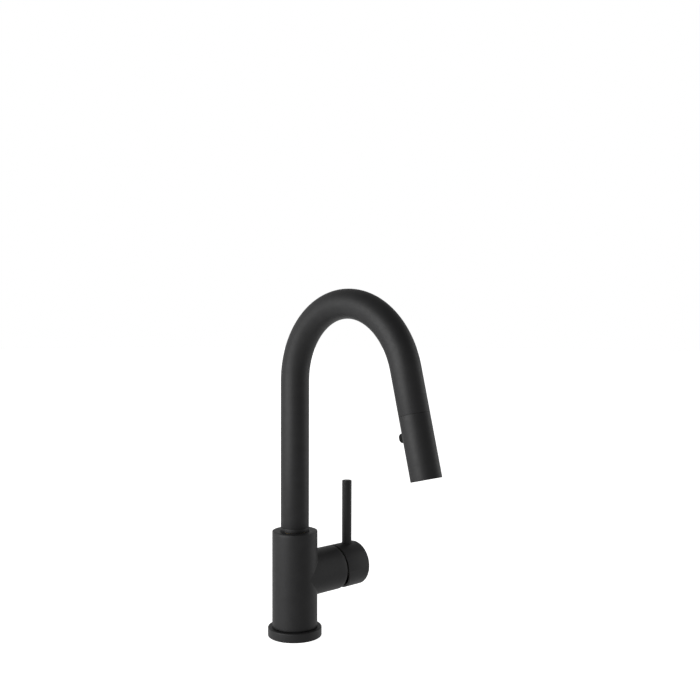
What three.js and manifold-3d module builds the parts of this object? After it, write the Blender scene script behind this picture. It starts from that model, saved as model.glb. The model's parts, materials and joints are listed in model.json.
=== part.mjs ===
// Pull-down kitchen faucet with a gooseneck spout, a side lever and a spray head that pulls out on a hose.
// Millimetres, +Z up. The origin is the centre of the base flange's underside, on the worktop.
// The spout reaches towards -Y, over the sink. The lever's housing points to +X.
import * as THREE from "three";
import { mergeVertices } from "three/addons/utils/BufferGeometryUtils.js";
import Module from "manifold-3d";

// Fit between neighbours, and the running fit of pieces that turn or slide in each other. The seams of the
// coated outside are closer.
const GAP = 0.3;
const SEAM = 0.12;

// Spout: one bent tube. The spray head has the tube's diameter and continues its last straight.
const TUBE_R = 14;
const TUBE_WALL = 1.5;
const BEND_R = 76.7;
const BEND_SWEEP = THREE.MathUtils.degToRad(165);
const BEND_STEPS = 22;
const BEND_START_Z = 253.9;
const LAST_STRAIGHT = 98.2;
const HEAD_LENGTH = 57.5;
const TUBE_SIDES = 32;
const TUBE_BORE_SIDES = 16;

// Body: an upright cylinder on a flange, with the valve housing as a cross cylinder of the same size.
const FLANGE_R = 26.8;
const FLANGE_H = 9;
const BODY_R = 22.5;
const BODY_TOP = 105;
const BODY_FOOT = FLANGE_H + GAP;
const NECK_BORE_R = 14.6;
const NECK_BORE_FOOT = 88;
const NECK_LIP_H = 1.2;
const STOP_BORE_R = 2.7;
const SWIVEL_BORE_R = 12;
const SWIVEL_BORE_FOOT = 40;
const HOSE_BORE_R = 6.7;

// Spout base: the glide ring under the tube, and the swivel end that carries the spout in the body.
const BASE_RING_H = 3.8;
const TUBE_FOOT = BODY_TOP + BASE_RING_H + 2 * SEAM;
const JOURNAL_R = 13;
const SWIVEL_END_R = 11.7;
const SWIVEL_END_FOOT = 50;
const GROOVE_R = 10;
const STOP_Z = 59;
const SEAL_HEIGHTS = [80, 73];

// Valve: its axis runs along X at VALVE_Z. Distances along it are X positions.
const VALVE_Z = 59.1;
const HOUSING_END = 51.2;
const VALVE_BORE_R = 17.8;
const VALVE_BORE_FOOT = 14.3;
const CARTRIDGE_R = 17.3;
const CARTRIDGE_FOOT = 15.6;
const CARTRIDGE_TOP = 40;
const PIVOT_X = 40;
const SPINDLE_SIDE = 7;
const SPINDLE_END = 67;

// Handle: a cap behind a narrow gap, cut back below mid-height so that it can tilt, with an upright rod.
const CAP_START = 53.1;
const CAP_END = 82;
const CAP_WALL = 1.9;
const CAP_END_WALL = 5;
const CAP_RELIEF = THREE.MathUtils.degToRad(20);
const BOSS_R = 9.5;
const BOSS_START = 58;
const LEVER_X = 70.5;
const LEVER_R = 5;
const LEVER_TOP = 147;
const LEVER_STUB_R = 3;
const SET_SCREW_X = 64.4;

// Fixing under the worktop.
const DECK_THICKNESS = 30;
const SHANK_R = 16.6;
const SHANK_BORE_R = 14.9;
const SHANK_FOOT = -62;
const SHANK_TOP = 16.7;
const WASHER_R = 26;
const NUT_FLATS = 47;
const NUT_H = 12;
const CLAMP_SCREW_X = 21;

// Water connections in the body's underside, around the hose.
const NIPPLE_R = 3.5;
const NIPPLE_BORE_R = 2.1;
const NIPPLE_FOOT = -6;
const SOCKET_TOP = 29;
const CROSS_PORT_Z = 33;
const PORT_R = 2.4;
const INLETS = {
  hot_inlet_nipple: [6.3, 9],
  cold_inlet_nipple: [6.3, -9],
  outlet_nipple: [11, 0],
};

// Hose.
const HOSE_R = 6;
const HOSE_FOOT = -70;
const HOSE_SIDES = 10;
const FERRULE_TOP = 84;

// Spray head. Distances along its axis count from the outlet face, at 0, up to the seam with the spout.
const SHELL_WALL = 1.6;
const BUTTON_HEIGHT = 39.5;
const BUTTON_W = 12;
const BUTTON_H = 8.8;
const BUTTON_PROUD = 5.2;
const DIVERTER_R = 11.9;
const DIVERTER_FOOT = 14;
const DIVERTER_TOP = 47;
const SPOOL_R = 2.9;

const COAT = { color: 0x2b2b2c, roughness: 0.55, metalness: 0.3 };
const BRASS = { color: 0xb5924a, roughness: 0.4, metalness: 1 };
const STEEL = { color: 0xb9bcc0, roughness: 0.35, metalness: 1 };
const RUBBER = { color: 0x1a1a1a, roughness: 0.85, metalness: 0 };
const POLYMER = { color: 0xd9d8d2, roughness: 0.5, metalness: 0 };
const DARK_POLYMER = { color: 0x202022, roughness: 0.45, metalness: 0 };
const CERAMIC = { color: 0xf1efe8, roughness: 0.2, metalness: 0 };
const MAGNET = { color: 0x4a4c50, roughness: 0.5, metalness: 0.8 };
const NYLON_BRAID = { color: 0x55575b, roughness: 0.7, metalness: 0 };

const wasm = await Module();
wasm.setup();

// ---------------------------------------------------------------- solids

// A closed geometry as a solid. Shared corners are merged, and the slivers at a turning axis are dropped.
function toSolid(shape) {
  if (!shape.isBufferGeometry) return shape;
  const bare = shape.clone().deleteAttribute("normal").deleteAttribute("uv");
  const merged = mergeVertices(bare, 1e-4);
  const corners = merged.index.array;
  const kept = [];
  for (let i = 0; i < corners.length; i += 3) {
    const [a, b, c] = corners.slice(i, i + 3);
    if (a !== b && b !== c && c !== a) kept.push(a, b, c);
  }
  return new wasm.Manifold(
    new wasm.Mesh({
      numProp: 3,
      vertProperties: merged.attributes.position.array,
      triVerts: new Uint32Array(kept),
    }),
  );
}

function cut(body, ...tools) {
  return tools.reduce((left, tool) => left.subtract(toSolid(tool)), toSolid(body));
}

function joined(body, ...others) {
  return others.reduce((whole, other) => whole.add(toSolid(other)), toSolid(body));
}

function toGeometry(shape) {
  const { vertProperties, triVerts } = toSolid(shape).getMesh();
  const geometry = new THREE.BufferGeometry();
  geometry.setAttribute("position", new THREE.BufferAttribute(new Float32Array(vertProperties), 3));
  geometry.setIndex(new THREE.BufferAttribute(new Uint32Array(triVerts), 1));
  geometry.computeVertexNormals();
  return geometry;
}

// A turned shape about Z from [radius, height] points, counter-clockwise seen with the axis on the left.
function turned(points, sides = 24) {
  const outline = points.map(([r, z]) => new THREE.Vector2(r, z));
  return new THREE.LatheGeometry(outline, sides).rotateX(Math.PI / 2);
}

function rod(r, low, high, sides) {
  return turned([[0, low], [r, low], [r, high], [0, high]], sides);
}

function ring(inner, outer, low, high, sides) {
  return turned([[inner, low], [outer, low], [outer, high], [inner, high], [inner, low]], sides);
}

// A rubber ring of round section about Z.
function oRing(inner, outer, height) {
  const section = (outer - inner) / 2;
  const points = [];
  for (let i = 0; i <= 6; i++) {
    const angle = (i * Math.PI) / 3;
    points.push([inner + section * (1 + Math.cos(angle)), height + section * Math.sin(angle)]);
  }
  points[6] = points[0];
  return turned(points);
}

function box(x, y, z) {
  return new THREE.BoxGeometry(x[1] - x[0], y[1] - y[0], z[1] - z[0]).translate(
    (x[0] + x[1]) / 2,
    (y[0] + y[1]) / 2,
    (z[0] + z[1]) / 2,
  );
}

// Turns a shape that was made about Z to lie along X or along Y.
const alongX = (geometry) => geometry.rotateY(Math.PI / 2);
const alongY = (geometry) => geometry.rotateX(-Math.PI / 2);

function circlePoints(r, sides) {
  const points = [];
  for (let i = 0; i < sides; i++) {
    const angle = (2 * Math.PI * i) / sides;
    points.push(new THREE.Vector2(r * Math.cos(angle), r * Math.sin(angle)));
  }
  return points;
}

function roundedRectangle(width, height, r) {
  const [x, y] = [width / 2 - r, height / 2 - r];
  const outline = new THREE.Shape();
  outline.absarc(x, y, r, 0, Math.PI / 2);
  outline.absarc(-x, y, r, Math.PI / 2, Math.PI);
  outline.absarc(-x, -y, r, Math.PI, 1.5 * Math.PI);
  outline.absarc(x, -y, r, 1.5 * Math.PI, 2 * Math.PI);
  outline.closePath();
  return outline;
}

// ---------------------------------------------------------------- spout line

// The spout's centre line: a riser, the bend and the last straight, from the height `foot` to `tail` past
// the bend. Each straight takes one step, and the bend has a station at its crown.
class SpoutLine extends THREE.Curve {
  constructor(foot, tail) {
    super();
    this.foot = foot;
    this.tail = tail;
    this.steps = BEND_STEPS + 2;
  }
  getPoint(t) {
    const station = t * this.steps;
    const bend = THREE.MathUtils.clamp((station - 1) / BEND_STEPS, 0, 1) * BEND_SWEEP;
    const point = new THREE.Vector3(
      0,
      BEND_R * (Math.cos(bend) - 1),
      BEND_START_Z + BEND_R * Math.sin(bend),
    );
    if (station < 1) point.z -= (1 - station) * (BEND_START_Z - this.foot);
    const past = Math.max(0, station - BEND_STEPS - 1) * this.tail;
    return point.add(new THREE.Vector3(0, -Math.sin(bend), Math.cos(bend)).multiplyScalar(past));
  }
  // Steps are counted, not measured along the line.
  getUtoTmapping(u) {
    return u;
  }
}

function swept(line, outer, hole) {
  const section = new THREE.Shape(outer);
  if (hole) section.holes.push(new THREE.Path(hole));
  return new THREE.ExtrudeGeometry(section, { steps: line.steps, extrudePath: line });
}

// ---------------------------------------------------------------- groups and pieces

const faucet = new THREE.Group();
const valve = new THREE.Group();
valve.position.z = VALVE_Z;
const head = new THREE.Group();
head.position.copy(new SpoutLine(0, LAST_STRAIGHT).getPoint(1));
head.rotation.x = BEND_SWEEP - Math.PI;
faucet.add(valve, head);

function piece(group, name, shape, finish) {
  const mesh = new THREE.Mesh(toGeometry(shape), new THREE.MeshStandardMaterial(finish));
  mesh.name = name;
  group.add(mesh);
}

// ---------------------------------------------------------------- body and base

function bodyShell() {
  const column = turned(
    [[0, BODY_FOOT], [BODY_R, BODY_FOOT], [BODY_R, BODY_TOP - 0.5], [BODY_R - 0.5, BODY_TOP], [0, BODY_TOP]],
    48,
  );
  const housing = alongX(
    turned([[0, 0], [BODY_R, 0], [BODY_R, HOUSING_END - 0.3], [BODY_R - 0.3, HOUSING_END], [0, HOUSING_END]], 48),
  ).translate(0, 0, VALVE_Z);
  const bores = [
    rod(NECK_BORE_R, NECK_BORE_FOOT, BODY_TOP - NECK_LIP_H, 40),
    rod(JOURNAL_R + GAP, BODY_TOP - 2, BODY_TOP + 1, 40),
    rod(SWIVEL_BORE_R, SWIVEL_BORE_FOOT, NECK_BORE_FOOT + 1, 32),
    rod(HOSE_BORE_R, BODY_FOOT, SWIVEL_BORE_FOOT + 1, 20),
    rod(SHANK_R + GAP, BODY_FOOT - 1, SHANK_TOP + GAP, 32),
    alongX(rod(VALVE_BORE_R, VALVE_BORE_FOOT, HOUSING_END + 1, 40)).translate(0, 0, VALVE_Z),
    alongY(rod(STOP_BORE_R, SWIVEL_END_R, BODY_R + 1, 12)).translate(0, 0, STOP_Z),
  ];
  // Each connection has a socket, a cross port towards the valve and a riser into the valve's bore.
  for (const [x, y] of Object.values(INLETS)) {
    bores.push(
      rod(NIPPLE_R + GAP, BODY_FOOT, SOCKET_TOP, 12).translate(x, y, 0),
      rod(PORT_R, SOCKET_TOP - 1, CROSS_PORT_Z + PORT_R, 8).translate(x, y, 0),
      alongX(rod(PORT_R, x - PORT_R, 20, 8)).translate(0, y, CROSS_PORT_Z),
      rod(PORT_R, CROSS_PORT_Z, 47, 8).translate(18, y, 0),
    );
  }
  return cut(joined(column, housing), ...bores);
}

function baseFlange() {
  const inner = SHANK_R + 0.7;
  const groove = [19.5, 24, 2.3];
  return turned(
    [
      [inner, 0], [groove[0], 0], [groove[0], groove[2]], [groove[1], groove[2]], [groove[1], 0],
      [FLANGE_R, 0], [FLANGE_R, FLANGE_H - 0.8], [FLANGE_R - 0.25, FLANGE_H - 0.25],
      [FLANGE_R - 0.8, FLANGE_H], [inner, FLANGE_H], [inner, 0],
    ],
    48,
  );
}

function clampScrew(side) {
  const top = -DECK_THICKNESS - 5.6;
  const shape = turned([[0, -60], [3.4, -60], [3.4, -56.5], [1.9, -56.5], [1.9, top], [0, top]], 12);
  const slot = box([-0.5, 0.5], [-4, 4], [-61, -58.8]);
  return toGeometry(cut(shape, slot)).translate(side * CLAMP_SCREW_X, 0, 0);
}

function mountingNut() {
  const top = -DECK_THICKNESS - 5.6;
  const hexagon = new THREE.Shape(circlePoints(NUT_FLATS / Math.sqrt(3), 6));
  const blank = new THREE.ExtrudeGeometry(hexagon, { depth: NUT_H, bevelEnabled: false });
  blank.translate(0, 0, top - NUT_H);
  const holes = [-1, 1].map((side) => rod(2.2, -60, 0, 8).translate(side * CLAMP_SCREW_X, 0, 0));
  return cut(blank, rod(SHANK_R + GAP, -60, 0, 28), ...holes);
}

function nipple(x, y) {
  const collar = NIPPLE_R - 0.6;
  return turned(
    [
      [NIPPLE_BORE_R, NIPPLE_FOOT], [collar, NIPPLE_FOOT], [NIPPLE_R, NIPPLE_FOOT + 0.6],
      [NIPPLE_R, SOCKET_TOP - GAP], [NIPPLE_BORE_R, SOCKET_TOP - GAP], [NIPPLE_BORE_R, NIPPLE_FOOT],
    ],
    12,
  ).translate(x, y, 0);
}

function addBody() {
  piece(faucet, "body_shell", bodyShell(), COAT);
  piece(faucet, "base_flange", baseFlange(), COAT);
  piece(faucet, "deck_gasket", ring(19.8, 23.7, 0, 2, 28), RUBBER);
  piece(faucet, "threaded_shank", ring(SHANK_BORE_R, SHANK_R, SHANK_FOOT, SHANK_TOP, 28), BRASS);
  const under = -DECK_THICKNESS;
  piece(faucet, "rubber_washer", ring(SHANK_R + 0.5, WASHER_R, under - 3, under, 28), RUBBER);
  piece(faucet, "steel_washer", ring(SHANK_R + 0.5, WASHER_R, under - 5.3, under - 3.3, 28), STEEL);
  piece(faucet, "mounting_nut", mountingNut(), BRASS);
  piece(faucet, "clamp_screw_1", clampScrew(-1), STEEL);
  piece(faucet, "clamp_screw_2", clampScrew(1), STEEL);
  for (const [name, [x, y]] of Object.entries(INLETS)) {
    piece(faucet, name, nipple(x, y), BRASS);
  }
  const bush = [JOURNAL_R + GAP, NECK_BORE_R - GAP];
  piece(faucet, "upper_bush", ring(...bush, BODY_TOP - 8, BODY_TOP - 1.5, 28), POLYMER);
  piece(faucet, "lower_bush", ring(...bush, NECK_BORE_FOOT + 1, NECK_BORE_FOOT + 7, 28), POLYMER);
  const stop = cut(rod(2.4, GROOVE_R + 0.6, 19.5, 12), rod(1.3, 17, 20, 6));
  piece(faucet, "spout_stop_screw", alongY(toGeometry(stop)).translate(0, 0, STOP_Z), STEEL);
}

// ---------------------------------------------------------------- spout

function swivelEnd() {
  const outside = [[SWIVEL_END_R, SWIVEL_END_FOOT]];
  const grooves = [[STOP_Z, 3.2], ...SEAL_HEIGHTS.slice().reverse().map((height) => [height, 1.4])];
  for (const [height, half] of grooves) {
    outside.push(
      [SWIVEL_END_R, height - half], [GROOVE_R, height - half],
      [GROOVE_R, height + half], [SWIVEL_END_R, height + half],
    );
  }
  const spigot = TUBE_R - TUBE_WALL - GAP;
  outside.push(
    [SWIVEL_END_R, NECK_BORE_FOOT + GAP], [JOURNAL_R, NECK_BORE_FOOT + GAP],
    [JOURNAL_R, BODY_TOP], [spigot, BODY_TOP], [spigot, TUBE_FOOT + 20],
  );
  const bore = HOSE_R + 1.5;
  return turned([[bore, SWIVEL_END_FOOT], ...outside, [bore, TUBE_FOOT + 20], [bore, SWIVEL_END_FOOT]]);
}

function addSpout() {
  const line = new SpoutLine(TUBE_FOOT, LAST_STRAIGHT - HEAD_LENGTH - SEAM);
  const outer = circlePoints(TUBE_R, TUBE_SIDES);
  const hole = circlePoints(TUBE_R - TUBE_WALL, TUBE_BORE_SIDES);
  piece(faucet, "spout_tube", swept(line, outer, hole), COAT);
  const baseRing = ring(TUBE_R - TUBE_WALL, TUBE_R, BODY_TOP + SEAM, BODY_TOP + SEAM + BASE_RING_H, 32);
  piece(faucet, "spout_base_ring", baseRing, COAT);
  piece(faucet, "swivel_end", swivelEnd(), BRASS);
  SEAL_HEIGHTS.forEach((height, i) => {
    piece(faucet, `swivel_seal_${i + 1}`, oRing(GROOVE_R + 0.15, SWIVEL_BORE_R - 0.1, height), RUBBER);
  });
  const insert = [TUBE_R - TUBE_WALL - GAP, HEAD_LENGTH + 2 * GAP];
  const insertShape = turned(
    [
      [11.9, insert[1]], [insert[0], insert[1]], [insert[0], insert[1] + 20], [9.2, insert[1] + 20],
      [9.2, insert[1] + 4], [11.9, insert[1] + 4], [11.9, insert[1]],
    ],
  );
  piece(head, "docking_insert", insertShape, DARK_POLYMER);
  piece(head, "docking_magnet", ring(9.4, 11.6, insert[1] + 0.2, insert[1] + 3.7, 24), MAGNET);
}

// ---------------------------------------------------------------- hose

function addHose() {
  const line = new SpoutLine(HOSE_FOOT, LAST_STRAIGHT - FERRULE_TOP - GAP);
  piece(faucet, "pullout_hose", swept(line, circlePoints(HOSE_R, HOSE_SIDES)), NYLON_BRAID);
  const top = HOSE_FOOT - GAP;
  const plug = [
    [3, top - 24], [5.2, top - 24], [5.2, top - 16], [4.4, top - 15.4], [4.4, top - 13.6], [5.2, top - 13],
    [5.2, top - 11], [8, top - 10], [8, top - 3], [7.2, top], [3, top], [3, top - 24],
  ];
  piece(faucet, "hose_connector", turned(plug, 20), BRASS);
  // The ferrule's stem turns in the hose nut, held by its lower flange.
  const ferrule = [
    [2.4, 61.6], [6.3, 61.6], [6.3, 63.6], [4.1, 63.6], [4.1, 66.4], [7.2, 67], [7.2, FERRULE_TOP - 1],
    [6.4, FERRULE_TOP], [2.4, FERRULE_TOP], [2.4, 61.6],
  ];
  piece(head, "hose_ferrule", turned(ferrule, 20), STEEL);
}

// ---------------------------------------------------------------- spray head

function headShell() {
  const inner = TUBE_R - SHELL_WALL;
  const sleeve = turned(
    [
      [inner, 0], [TUBE_R - 0.2, 0], [TUBE_R, 0.2], [TUBE_R, HEAD_LENGTH - 0.1],
      [TUBE_R - 0.1, HEAD_LENGTH], [inner, HEAD_LENGTH], [inner, 0],
    ],
    40,
  );
  const opening = roundedRectangle(BUTTON_W + 2 * GAP, BUTTON_H + 2 * GAP, 3.8);
  const window = new THREE.ExtrudeGeometry(opening, { depth: 20, bevelEnabled: false, curveSegments: 4 });
  return cut(sleeve, alongY(window).translate(0, 0, BUTTON_HEIGHT));
}

function sprayButton() {
  const outline = roundedRectangle(BUTTON_W - 2, BUTTON_H - 2, 2.8);
  const bevel = { bevelThickness: 1.2, bevelSize: 1, bevelSegments: 2, curveSegments: 3 };
  const low = DIVERTER_R + 0.9;
  const depth = TUBE_R + BUTTON_PROUD - low - 2 * bevel.bevelThickness;
  const cap = new THREE.ExtrudeGeometry(outline, { depth, ...bevel });
  cap.translate(0, 0, low + bevel.bevelThickness);
  return alongY(toGeometry(cap)).translate(0, 0, BUTTON_HEIGHT);
}

function diverterBody() {
  const blank = turned(
    [
      [0, DIVERTER_FOOT], [DIVERTER_R, DIVERTER_FOOT], [DIVERTER_R, DIVERTER_TOP], [6.6, DIVERTER_TOP],
      [6.6, 58.4], [0, 58.4],
    ],
    28,
  );
  const spoolBore = alongY(rod(SPOOL_R + GAP, -10, DIVERTER_R + 1, 16)).translate(0, 0, BUTTON_HEIGHT);
  const flat = box([-8, 8], [DIVERTER_R - 1.6, DIVERTER_R + 1], [BUTTON_HEIGHT - 6, BUTTON_HEIGHT + 6]);
  return cut(
    blank,
    rod(4.2, BUTTON_HEIGHT, 60, 16),
    rod(2.4, DIVERTER_FOOT - 1, BUTTON_HEIGHT, 12),
    rod(1.8, DIVERTER_FOOT - 1, BUTTON_HEIGHT, 12).translate(0, -6, 0),
    spoolBore,
    flat,
  );
}

function addSprayHead() {
  piece(head, "head_shell", headShell(), COAT);
  piece(head, "docking_plate", ring(9.2, 12.1, HEAD_LENGTH - 2, HEAD_LENGTH - 0.2, 28), STEEL);
  const nut = [
    [7, 49], [8.8, 49], [8.8, 63.6], [8, 66], [4.4, 66], [4.4, 64], [7, 64], [7, 49],
  ];
  piece(head, "hose_nut", turned(nut, 20), BRASS);
  piece(head, "hose_washer", ring(2.6, 6.5, 59.6, 61.2, 20), RUBBER);
  piece(head, "filter_screen", rod(6.5, 58.7, 59.3, 20), STEEL);
  piece(head, "check_valve", rod(3.9, 45, 57.5, 16), POLYMER);
  piece(head, "diverter_body", diverterBody(), POLYMER);
  piece(head, "face_plate", ring(11.2, 12.1, 0.5, 5, 40), DARK_POLYMER);
  piece(head, "spray_nozzles", ring(8.5, 10.9, 1.6, 4.6, 28), RUBBER);
  const aerator = turned([[5.5, 1.6], [8.2, 1.6], [8.2, 13], [3, 13], [3, 11], [5.5, 11], [5.5, 1.6]]);
  piece(head, "aerator_housing", aerator, DARK_POLYMER);
  piece(head, "aerator_screen", rod(5.2, 2, 3.6, 24), STEEL);
  const spring = ring(1.4, 2.5, -9.7, -3.8, 16);
  piece(head, "button_spring", alongY(spring).translate(0, 0, BUTTON_HEIGHT), STEEL);
  piece(head, "spray_button", sprayButton(), RUBBER);
  const spool = turned(
    [
      [0, -3.5], [SPOOL_R, -3.5], [SPOOL_R, -1], [1.6, -1], [1.6, 4], [SPOOL_R, 4], [SPOOL_R, 9], [1.8, 9],
      [1.8, DIVERTER_R + 0.6], [0, DIVERTER_R + 0.6],
    ],
    16,
  );
  piece(head, "diverter_spool", alongY(spool).translate(0, 0, BUTTON_HEIGHT), POLYMER);
}

// ---------------------------------------------------------------- valve

const DISC_PORTS = [[0, -8.5], [7.4, 4.2], [-7.4, 4.2]];

// A disc about the valve's axis with the three water ports through it.
function portedDisc(r, low, high) {
  const ports = DISC_PORTS.map(([y, z]) => alongX(rod(2.3, low - 1, high + 1, 8)).translate(0, y, z));
  return cut(alongX(rod(r, low, high, 28)), ...ports);
}

function cartridgeHousing() {
  const cup = alongX(
    turned(
      [
        [0, CARTRIDGE_FOOT], [CARTRIDGE_R, CARTRIDGE_FOOT], [CARTRIDGE_R, CARTRIDGE_TOP],
        [9.6, CARTRIDGE_TOP], [9.6, CARTRIDGE_TOP - 2], [15.5, CARTRIDGE_TOP - 2], [15.5, 18], [0, 18],
      ],
      28,
    ),
  );
  return cut(cup, ...DISC_PORTS.map(([y, z]) => alongX(rod(2.3, 14, 20, 8)).translate(0, y, z)));
}

function stemGuide() {
  const drum = alongX(turned([[0, 25.9], [15.2, 25.9], [15.2, 37.7], [9.2, 37.7], [9.2, 45], [0, 45]], 28));
  const half = SPINDLE_SIDE / 2 + 0.4;
  return cut(
    drum,
    box([25, 46], [-half, half], [-6.2, 5.2]),
    box([25, 37.5], [-half, half], [-6.2, 10]),
    alongY(rod(1.5 + GAP, -10, 10, 12)).translate(PIVOT_X, 0, 0),
  );
}

function addValve() {
  piece(valve, "cartridge_seal", portedDisc(15, VALVE_BORE_FOOT + GAP, CARTRIDGE_FOOT - GAP), RUBBER);
  piece(valve, "cartridge_housing", cartridgeHousing(), POLYMER);
  piece(valve, "fixed_disc", portedDisc(15.1, 18.3, 21.8), CERAMIC);
  const pocket = box([21, 23.6], [-4, 4], [-7, 7]);
  piece(valve, "moving_disc", cut(alongX(rod(11.5, 22.1, 25.6)), pocket), CERAMIC);
  piece(valve, "stem_guide", stemGuide(), POLYMER);
  piece(valve, "pivot_pin", alongY(rod(1.5, -8.4, 8.4, 12)).translate(PIVOT_X, 0, 0), STEEL);
  const nut = [
    [12, 40.3], [17.5, 40.3], [17.5, 47], [16.5, 47], [16.5, 50], [12, 50], [12, 40.3],
  ];
  piece(valve, "bonnet_nut", alongX(turned(nut, 28)), BRASS);
}

// ---------------------------------------------------------------- handle

function handleCap() {
  const outside = alongX(
    turned(
      [
        [0, CAP_START], [BODY_R - 0.3, CAP_START], [BODY_R, CAP_START + 0.3], [BODY_R, CAP_END - 0.6],
        [BODY_R - 0.6, CAP_END], [0, CAP_END],
      ],
      48,
    ),
  );
  const hollow = alongX(ring(BOSS_R, BODY_R - CAP_WALL, BOSS_START, CAP_END - CAP_END_WALL, 32));
  const mouth = alongX(rod(BODY_R - CAP_WALL, CAP_START - 1, BOSS_START + 0.01, 32));
  // The relief is a wedge below mid-height, between the cap's flat rim and a plane at the relief angle.
  const wedge = new THREE.Shape();
  wedge.moveTo(CAP_START - 5, 0);
  wedge.lineTo(CAP_START, 0);
  wedge.lineTo(CAP_START + 30 * Math.tan(CAP_RELIEF), -30);
  wedge.lineTo(CAP_START - 5, -30);
  wedge.closePath();
  const relief = new THREE.ExtrudeGeometry(wedge, { depth: 60, bevelEnabled: false });
  relief.rotateX(Math.PI / 2).translate(0, 30, 0);
  const half = SPINDLE_SIDE / 2 + GAP;
  return cut(
    outside,
    hollow,
    mouth,
    relief,
    box([BOSS_START - 1, SPINDLE_END + GAP], [-half, half], [-half, half]),
    rod(LEVER_R + GAP, BODY_R - CAP_WALL - 2, BODY_R + 1, 20).translate(LEVER_X, 0, 0),
    rod(LEVER_STUB_R + GAP, 5, BODY_R, 12).translate(LEVER_X, 0, 0),
    rod(2.7, -BODY_R - 1, -half + 0.1, 12).translate(SET_SCREW_X, 0, 0),
  );
}

function leverRod() {
  const top = LEVER_TOP - VALVE_Z;
  const shoulder = BODY_R - CAP_WALL - 1.5;
  return turned(
    [
      [0, 5 + GAP], [LEVER_STUB_R, 5 + GAP], [LEVER_STUB_R, shoulder], [LEVER_R, shoulder],
      [LEVER_R, top - 0.4], [LEVER_R - 0.4, top], [0, top],
    ],
    24,
  ).translate(LEVER_X, 0, 0);
}

function leverSpindle() {
  const half = SPINDLE_SIDE / 2;
  const bar = box([26.3, SPINDLE_END], [-half, half], [-half, half]);
  return cut(bar, alongY(rod(1.5 + GAP, -5, 5, 12)).translate(PIVOT_X, 0, 0));
}

function addHandle() {
  piece(valve, "handle_cap", handleCap(), COAT);
  piece(valve, "lever_rod", leverRod(), COAT);
  piece(valve, "lever_spindle", leverSpindle(), BRASS);
  const tip = -SPINDLE_SIDE / 2 - GAP;
  const screw = cut(rod(2.4, tip - 8, tip, 12), rod(1.3, tip - 9, tip - 6, 6));
  piece(valve, "handle_set_screw", toGeometry(screw).translate(SET_SCREW_X, 0, 0), STEEL);
  const plug = rod(2.4, -BODY_R + 0.3, -BODY_R + CAP_WALL + 1, 12);
  piece(valve, "set_screw_plug", plug.translate(SET_SCREW_X, 0, 0), DARK_POLYMER);
}

addBody();
addSpout();
addHose();
addSprayHead();
addValve();
addHandle();

export default faucet;
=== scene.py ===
import json
import math
from collections import defaultdict

import bmesh
import bpy
from mathutils import Matrix, Quaternion, Vector


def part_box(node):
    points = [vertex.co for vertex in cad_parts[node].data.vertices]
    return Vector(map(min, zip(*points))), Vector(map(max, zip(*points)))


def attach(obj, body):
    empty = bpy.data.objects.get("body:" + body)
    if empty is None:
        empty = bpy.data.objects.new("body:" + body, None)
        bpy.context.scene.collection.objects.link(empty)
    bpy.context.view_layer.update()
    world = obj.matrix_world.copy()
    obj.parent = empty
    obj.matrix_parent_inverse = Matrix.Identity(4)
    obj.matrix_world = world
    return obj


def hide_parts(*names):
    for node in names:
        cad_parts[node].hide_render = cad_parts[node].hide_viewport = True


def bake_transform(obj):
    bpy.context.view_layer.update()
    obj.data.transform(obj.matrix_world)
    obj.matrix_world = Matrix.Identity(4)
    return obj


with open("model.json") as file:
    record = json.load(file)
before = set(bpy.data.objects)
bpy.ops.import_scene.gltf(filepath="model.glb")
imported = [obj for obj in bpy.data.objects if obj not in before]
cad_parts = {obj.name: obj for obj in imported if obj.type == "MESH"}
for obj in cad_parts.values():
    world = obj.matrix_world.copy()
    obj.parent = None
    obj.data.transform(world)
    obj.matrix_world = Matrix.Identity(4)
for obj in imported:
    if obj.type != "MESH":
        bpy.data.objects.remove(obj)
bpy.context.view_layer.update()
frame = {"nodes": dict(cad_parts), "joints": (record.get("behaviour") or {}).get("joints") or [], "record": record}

MM = 0.001
RECORD = frame["record"]
BODY_OF = {node: body for body, nodes in RECORD["behaviour"]["bodies"].items() for node in nodes}
SLOT_OF = {part["node"]: part["material_slot"] for part in RECORD["subparts"]}
JOINTS = {joint["name"]: joint for joint in frame["joints"]}

# Driving sizes that the frame doesn't hold.
TURNED_SIDES = 128
BODY_SIDES = 192
BEND_RADIUS = 76.7 * MM
BEND_SWEEP = math.radians(165)
TUBE_WALL = 1.5 * MM
SADDLE_FILLET = 1.2 * MM
RUNNING_GAP = 0.3 * MM
SEAM = 0.12 * MM
SCREW_STEM = 1.9 * MM
HOSE_R = 6 * MM
LEVER_STUB_R = 3 * MM
HOSE_CLEARANCE = 0.7 * MM
BUTTON_CORNER = 3.8 * MM
# A thread's pitch and depth, and the sides that a small screw is turned with.
SHANK_THREAD = (2 * MM, 0.9 * MM)
SCREW_THREAD = (0.8 * MM, 0.35 * MM, 32)
THREAD_STEPS = 6
# Points closer than this are one point.
SAME_PLACE = 1e-7
NIPPLES = ("hot_inlet_nipple", "cold_inlet_nipple", "outlet_nipple")
CLAMP_SCREWS = ("clamp_screw_1", "clamp_screw_2")


# ---------------------------------------------------------------- places

def placed(origin, axis, side=(1, 0, 0)):
    """A frame at a point, with its Z along an axis and its X to one side."""
    z = Vector(axis).normalized()
    x = Vector(side)
    turn = Matrix((x, z.cross(x), z)).transposed().to_4x4()
    return Matrix.Translation(origin) @ turn


def middle(node):
    low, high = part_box(node)
    return (low + high) / 2


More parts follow.
